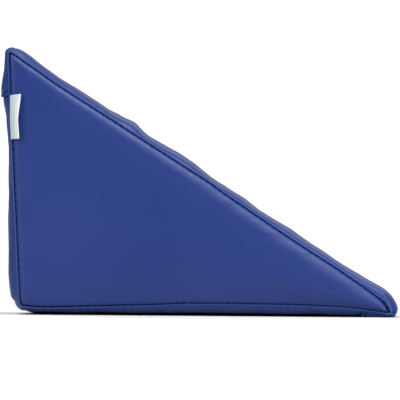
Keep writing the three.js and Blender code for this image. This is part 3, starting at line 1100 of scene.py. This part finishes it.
def hairpin(share):
    """The middle of the ribbon's thickness at one height of the tag, from one cut end to the other."""
    t = np.linspace(*LABEL_PATH["at"][[0, -1]], LAYER_STEPS)
    share = smoothstep(share, CURL["from"], CURL["to"]) + CURL["belly"] * math.sin(math.pi * share) ** 2
    path = np.stack([lerp(read(LABEL_PATH, "top_" + way, t), read(LABEL_PATH, "foot_" + way, t), share)
                     for way in ("across", "out")], 1)
    ahead, normal = directions(path)
    half = LABEL["gap"] / 2
    outer = path + normal * half
    inner = (path - normal * half)[::-1]
    angles = np.linspace(0, math.pi, FOLD_STEPS + 2)[1:-1, None]
    fold = path[-1] + half * (normal[-1] * np.cos(angles) + ahead[-1] * np.sin(angles))
    return np.concatenate([outer, fold, inner])


print("points along the hairpin:", len(hairpin(0.5)))


# %% A thin closed sheet
def ribbon_faces(rows, columns):
    """Faces of a thin closed sheet whose upper grid of points is followed by its lower grid."""
    half = rows * columns

    def cell(i, j):
        return i * columns + j

    faces = []
    for i in range(rows - 1):
        for j in range(columns - 1):
            quad = [cell(i, j), cell(i, j + 1), cell(i + 1, j + 1), cell(i + 1, j)]
            faces.append(tuple(quad))
            faces.append(tuple(half + k for k in reversed(quad)))
    rim = [cell(0, j) for j in range(columns)]
    rim += [cell(i, columns - 1) for i in range(1, rows)]
    rim += [cell(rows - 1, j) for j in range(columns - 2, -1, -1)]
    rim += [cell(i, 0) for i in range(rows - 2, 0, -1)]
    for a, b in zip(rim, rim[1:] + rim[:1]):
        faces.append((b, a, half + a, half + b))
    return faces


print("the smallest sheet, of one square, has", len(ribbon_faces(2, 2)), "faces")

# %% The tag
LABEL_STEPS = 44


def make_label():
    """The tag, with two marks at every point: how far across and how far along the ribbon it lies."""
    back = runs[0]
    upper, lower, widths, lengths = [], [], [], []
    for share in np.linspace(0, 1, LABEL_STEPS):
        path = hairpin(share)
        _, normal = directions(path)
        root = back["start"] + back["along"] * (LABEL["top"] - LABEL["length"] * share)
        slant = lerp(LABEL["top_slant"], LABEL["foot_slant"], share)
        for sheet, offset in ((upper, LABEL["thick"] / 2), (lower, -LABEL["thick"] / 2)):
            across, out = (path + normal * offset).T
            sheet.append(np.stack([root[0] + across, -(SEAM_PLANE + out), root[1] + slant * across], 1))
        widths.append(np.concatenate([[0], np.cumsum(np.linalg.norm(np.diff(path, axis=0), axis=1))]))
        lengths.append(np.full(len(path), share * LABEL["length"]))
    positions = np.concatenate(upper + lower)
    label = link_mesh("woven_tag", to_metres(positions), ribbon_faces(LABEL_STEPS, len(upper[0])))
    mark_points(label, "across_ribbon", np.tile(np.concatenate(widths), 2))
    mark_points(label, "along_ribbon", np.tile(np.concatenate(lengths), 2))
    return label, float(np.mean([walked[-1] for walked in widths]))


label, ribbon_width = make_label()
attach(label, "root")
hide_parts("label")
print("the tag's ribbon is", round(ribbon_width, 1), "by", LABEL["length"], "mm before it is folded")

# %% [markdown]
# ## Writing shader sums as Python
# A material is a graph of nodes, and small sums on values make the most of them. This class wraps one output
# of a node, so that a sum written in Python adds its Math node. One method adds every other kind of node.


# %% Sums on sockets
class Value:
    """An output of a node, with the sums that this script writes on it."""

    def __init__(self, finish, output):
        self.finish = finish
        self.output = output

    def sum(self, operation, first, second):
        return self.finish.add("ShaderNodeMath", {"operation": operation}, {0: first, 1: second})

    def __add__(self, other):
        return self.sum("ADD", self, other)

    def __radd__(self, other):
        return self.sum("ADD", other, self)

    def __sub__(self, other):
        return self.sum("SUBTRACT", self, other)

    def __rsub__(self, other):
        return self.sum("SUBTRACT", other, self)

    def __mul__(self, other):
        return self.sum("MULTIPLY", self, other)

    def __rmul__(self, other):
        return self.sum("MULTIPLY", other, self)


print("reflected forms:", [name for name in vars(Value) if name.startswith("__r")])


# %% Nodes
class Finish:
    """The node tree of a material or of the world."""

    def __init__(self, tree):
        self.tree = tree
        tree.nodes.clear()

    def add(self, kind, settings=None, sockets=None, output=0):
        """Adds a node: its settings come first, then the values or links of its sockets."""
        node = self.tree.nodes.new(kind)
        for name, value in (settings or {}).items():
            setattr(node, name, value)
        for name, value in (sockets or {}).items():
            if isinstance(value, Value):
                self.tree.links.new(value.output, node.inputs[name])
            else:
                node.inputs[name].default_value = value
        return Value(self, node.outputs[output]) if len(node.outputs) else None

    def mark(self, name):
        """What mark_points stored on the piece."""
        return self.add("ShaderNodeAttribute", {"attribute_name": name}, output="Fac")

    def blend(self, share, first, second):
        """A colour part of the way from the first to the second."""
        return self.add("ShaderNodeMix", {"data_type": "RGBA"}, {0: share, 6: first, 7: second}, output=2)

    def close(self, surface):
        self.add("ShaderNodeOutputMaterial", None, {"Surface": surface})


def new_material(name):
    material = bpy.data.materials.new(name)
    material.use_nodes = True
    return material, Finish(material.node_tree)


trial, trial_finish = new_material("trial")
less = 1 - 0.5 * trial_finish.mark("rubbed_highlit")
print("1 - 0.5 * mark has", len(trial.node_tree.nodes), "nodes and ends in", less.output.node.bl_label)
bpy.data.materials.remove(trial)

# %% [markdown]
# ## Faux leather
# The cover is coated cloth: a thin skin of coloured vinyl pressed with a very fine grain. From a step away
# it looks almost smooth, with a satin shine. So the colour barely changes, the grain is a shallow bump of
# small cells, and the shine varies a little where hands and folds have polished the skin. The lips of the
# seams are painted paler, partly as wear and partly as a painted highlight, which also falls at the needle
# holes. The grooves, the laps and the toe's tuck get painted shade: a dark matt blue without any shine. The
# coordinates are metres, so a scale of 1100 makes cells of about a millimetre.

# %% Faux leather
COVER_BLUE = (0.005, 0.0205, 0.124, 1)
COVER_PALE = (0.008, 0.0255, 0.141, 1)
# The next colour is the lips' paleness: partly wear, partly a painted highlight.
RUBBED_HIGHLIGHT_BLUE = (0.030, 0.085, 0.340, 1)
# The next colour is painted shade for the grooves, the laps and the toe's tuck.
PAINTED_SHADE_BLUE = (0.003, 0.010, 0.060, 1)
RUBBED_HIGHLIGHT_SHARE = 0.6
PAINTED_SHADE_SHARE = 0.85
SATIN = {"least": 0.36, "swing": 0.08}
GRAIN = {"pores": 0.4, "peel": 4.0}


def faux_leather():
    material, finish = new_material("blue_faux_leather")
    place = finish.add("ShaderNodeTexCoord", output="Object")
    drift = finish.add("ShaderNodeTexNoise", None, {"Vector": place, "Scale": 14.0, "Detail": 3.0})
    cells = finish.add("ShaderNodeTexVoronoi", {"feature": "SMOOTH_F1"},
                       {"Vector": place, "Scale": 1100.0, "Smoothness": 0.6})
    pores = finish.add("ShaderNodeTexNoise", None, {"Vector": place, "Scale": 2600.0, "Detail": 2.0})
    peel = finish.add("ShaderNodeTexNoise", None, {"Vector": place, "Scale": 300.0, "Detail": 1.0})
    bump = finish.add("ShaderNodeBump", None, {
        "Height": cells + GRAIN["pores"] * pores + GRAIN["peel"] * peel, "Strength": 0.9,
        "Distance": 0.00004})
    skin_blue = finish.blend(drift, COVER_BLUE, COVER_PALE)
    # Paler lips and needle holes: partly wear, partly a painted highlight.
    color = finish.blend(finish.mark("rubbed_highlit") * RUBBED_HIGHLIGHT_SHARE, skin_blue, RUBBED_HIGHLIGHT_BLUE)
    skin_shader = finish.add("ShaderNodeBsdfPrincipled", None, {
        "Base Color": color, "Roughness": SATIN["least"] + SATIN["swing"] * drift, "Normal": bump,
        "Specular IOR Level": 0.35})
    # A dark matt blue without shine, mixed in by the shaded mark: painted shade in the grooves, along the
    # laps and in the tuck.
    painted_groove_shade = finish.add("ShaderNodeBsdfPrincipled", None, {
        "Base Color": PAINTED_SHADE_BLUE, "Roughness": 0.9, "Specular IOR Level": 0.0})
    share = finish.mark("shaded") * PAINTED_SHADE_SHARE
    finish.close(finish.add("ShaderNodeMixShader", None, {0: share, 1: skin_shader, 2: painted_groove_shade}))
    return material


cover.data.materials.append(faux_leather())
print("cover material nodes:", len(cover.data.materials[0].node_tree.nodes))

# %% [markdown]
# ## Thread and ribbon
# The thread is navy polyester, matt beside the shiny skin. The ribbon is tightly woven from bright white
# yarn: the weave is a fine bump of ribs across it and picks along it, and its mark is two plain woven lines.
# A paler strip along the ribbon's fold is a painted highlight.

# %% Thread
THREAD_NAVY = (0.003, 0.006, 0.045, 1)
THREAD_PALE = (0.006, 0.012, 0.075, 1)


def navy_thread():
    material, finish = new_material("navy_thread")
    place = finish.add("ShaderNodeTexCoord", output="Object")
    fibre = finish.add("ShaderNodeTexNoise", None, {"Vector": place, "Scale": 5200.0, "Detail": 2.0})
    bump = finish.add("ShaderNodeBump", None, {"Height": fibre, "Strength": 0.4, "Distance": 0.00006})
    finish.close(finish.add("ShaderNodeBsdfPrincipled", None, {
        "Base Color": finish.blend(fibre, THREAD_NAVY, THREAD_PALE), "Roughness": 0.62, "Normal": bump,
        "Specular IOR Level": 0.3}))
    return material


for piece in threads:
    piece.data.materials.append(navy_thread())
print("threads in navy:", [piece.name for piece in threads])

# %% Ribbon weave
RIBBON_WHITE = (0.50, 0.51, 0.54, 1)
RIBBON_SHADE = (0.38, 0.39, 0.43, 1)
# The next colour and width are a painted highlight: a paler strip along the ribbon's fold.
FOLD_HIGHLIGHT_WHITE = (0.68, 0.68, 0.70, 1)
RIBBON_LINE = (0.15, 0.38, 0.28, 1)
RIB_PITCH = 0.42
PICK_PITCH = 0.3
WEAVE_SWING = 0.25
LINE_PLACES = (7.2, 9.2)
LINE_WIDTH = 0.7
LINE_STRENGTH = 0.6
LINE_BLUR = 0.15
FOLD_HIGHLIGHT_WIDTH = 0.5


def woven_ribbon():
    material, finish = new_material("white_woven_ribbon")
    across, along = finish.mark("across_ribbon"), finish.mark("along_ribbon")

    def wave(value, period):
        return finish.add("ShaderNodeMath", {"operation": "SINE"}, {0: value * (2 * math.pi / period)})

    def stripe(centre, width):
        away = finish.add("ShaderNodeMath", {"operation": "ABSOLUTE"}, {0: across - centre})
        return finish.add("ShaderNodeMapRange", {"interpolation_type": "SMOOTHSTEP"},
                          {0: away, 1: width / 2, 2: width / 2 + LINE_BLUR, 3: 1.0, 4: 0.0})

    ribs, picks = wave(across, RIB_PITCH), wave(along, PICK_PITCH)
    weave = 0.5 + WEAVE_SWING * ribs + WEAVE_SWING * ribs * picks
    cloth = finish.blend(weave, RIBBON_SHADE, RIBBON_WHITE)
    # A painted highlight: a paler strip half way across the folded ribbon, at its fold.
    fold_highlit = finish.blend(stripe(ribbon_width / 2, FOLD_HIGHLIGHT_WIDTH), cloth, FOLD_HIGHLIGHT_WHITE)
    lines = stripe(LINE_PLACES[0], LINE_WIDTH) + stripe(LINE_PLACES[1], LINE_WIDTH)
    bump = finish.add("ShaderNodeBump", None, {"Height": weave, "Strength": 0.5, "Distance": 0.00008})
    finish.close(finish.add("ShaderNodeBsdfPrincipled", None, {
        "Base Color": finish.blend(lines * LINE_STRENGTH, fold_highlit, RIBBON_LINE), "Roughness": 0.7,
        "Normal": bump, "Specular IOR Level": 0.3}))
    return material


label.data.materials.append(woven_ribbon())
print("ribs across the ribbon:", round(ribbon_width / RIB_PITCH))

# %% [markdown]
# ## Floor and light
# The cushion stands on a plain pale floor. A wide dome lights it from above and behind, and looks plain
# white to the camera. Four soft boxes do the rest. The one above the front puts the long highlight on the
# slope's rim. The one at the left lifts the side panel and throws the tag's soft shadow. The one at the
# right, low down, lights the toe. The one at the rear brightens the floor beside the heel. It is kept out of
# reflections, because it would draw a white edge round the apex.

# %% Floor
FLOOR_REACH = 1.0
FLOOR_GREY = (0.46, 0.46, 0.46, 1)


def add_floor():
    corners = [(x * FLOOR_REACH, y * FLOOR_REACH, 0) for x, y in ((-1, -1), (1, -1), (1, 1), (-1, 1))]
    floor = link_mesh("floor", corners, [(0, 1, 2, 3)])
    material, finish = new_material("pale_floor")
    finish.close(finish.add("ShaderNodeBsdfPrincipled", None, {
        "Base Color": FLOOR_GREY, "Roughness": 0.8, "Specular IOR Level": 0.1}))
    floor.data.materials.append(material)


add_floor()
print("the floor reaches", FLOOR_REACH, "m each way")

# %% Dome
FRONT_GLOW = 0.09
BACK_GLOW = 0.55
TOP_GLOW = 2.25
SEEN_GLOW = 1.2


def light_dome():
    """A faint glow all round, a brighter band behind and the brightest patch above."""
    world = bpy.data.worlds.new("studio")
    bpy.context.scene.world = world
    world.use_nodes = True
    finish = Finish(world.node_tree)
    direction = finish.add("ShaderNodeTexCoord", output="Generated")

    def toward(axis, low, high, bright):
        """Rises from nothing to a brightness as a direction turns towards an axis."""
        along = finish.add("ShaderNodeVectorMath", {"operation": "DOT_PRODUCT"}, {0: direction, 1: axis},
                           output=1)
        return finish.add("ShaderNodeMapRange", {"interpolation_type": "SMOOTHSTEP"},
                          {0: along, 1: low, 2: high, 3: 0.0, 4: bright})

    over_floor = toward((0, 0, 1), low=-0.02, high=0.25, bright=1.0)
    behind = toward((0, 1, 0), low=0.0, high=0.8, bright=BACK_GLOW) * over_floor
    above = toward((0, -0.35, 0.94), low=0.5, high=0.97, bright=TOP_GLOW)
    seen = finish.add("ShaderNodeLightPath", output="Is Camera Ray")
    strength = (FRONT_GLOW + behind + above) * (1 - seen) + SEEN_GLOW * seen
    shader = finish.add("ShaderNodeBackground", None, {"Color": (1, 1, 1, 1), "Strength": strength})
    finish.add("ShaderNodeOutputWorld", None, {"Surface": shader})


light_dome()
print("the dome is", round((FRONT_GLOW + TOP_GLOW) / FRONT_GLOW), "times as bright above as in front")

# %% Soft boxes
SOFTBOX_AIM = Vector((0, 0, 0.08))
SOFTBOXES = [
    {"name": "rim_softbox", "place": (0.5, -0.85, 1.75), "size": (0.9, 0.6), "watts": 22, "mirrored": True},
    {"name": "left_softbox", "place": (-1.5, -1.3, 0.8), "size": (0.5, 0.5), "watts": 18.5, "mirrored": True},
    {"name": "right_softbox", "place": (1.3, -1.1, 0.35), "size": (0.4, 0.4), "watts": 14, "mirrored": True},
    {"name": "rear_softbox", "place": (-0.5, 1.3, 0.75), "size": (0.4, 0.4), "watts": 28, "mirrored": False},
]


def softbox(name, place, size, watts, mirrored):
    light = bpy.data.lights.new(name, "AREA")
    light.shape = "RECTANGLE"
    light.size, light.size_y = size
    light.energy = watts
    lamp = bpy.data.objects.new(name, light)
    lamp.visible_glossy = mirrored
    lamp.location = place
    lamp.rotation_euler = (SOFTBOX_AIM - Vector(place)).to_track_quat("-Z", "Y").to_euler()
    bpy.context.scene.collection.objects.link(lamp)


for box in SOFTBOXES:
    softbox(**box)
print("watts of the soft boxes:", {box["name"]: box["watts"] for box in SOFTBOXES})

# %% [markdown]
# ## Camera
# The photo looks straight at the side panel from far away, so the camera stands far off with a long lens. A
# turn of less than half a degree gives the floor the photo's slight fall.

# %% Camera
FRAME_WIDTH = 0.302
ROLL = math.radians(0.45)
SENSOR = 36.0


def add_camera():
    data = bpy.data.cameras.new("camera")
    data.sensor_width = SENSOR
    data.lens = SENSOR * CAMERA_AWAY / FRAME_WIDTH
    data.clip_end = 2 * CAMERA_AWAY + FLOOR_REACH
    camera = bpy.data.objects.new("camera", data)
    turn = Matrix.Rotation(math.radians(90), 4, "X") @ Matrix.Rotation(ROLL, 4, "Z")
    camera.matrix_world = Matrix.Translation(AIM + Vector((0, -CAMERA_AWAY, 0))) @ turn
    bpy.context.scene.collection.objects.link(camera)
    bpy.context.scene.camera = camera
    return data


camera_data = add_camera()
bpy.context.scene.view_settings.view_transform = "Standard"
print("the lens is", round(camera_data.lens), "mm, and the view is", FRAME_WIDTH, "m wide at the near seam")

# %% [markdown]
# ## Sizes
# The dressed cushion has to fill the packed model's box and hardly more.
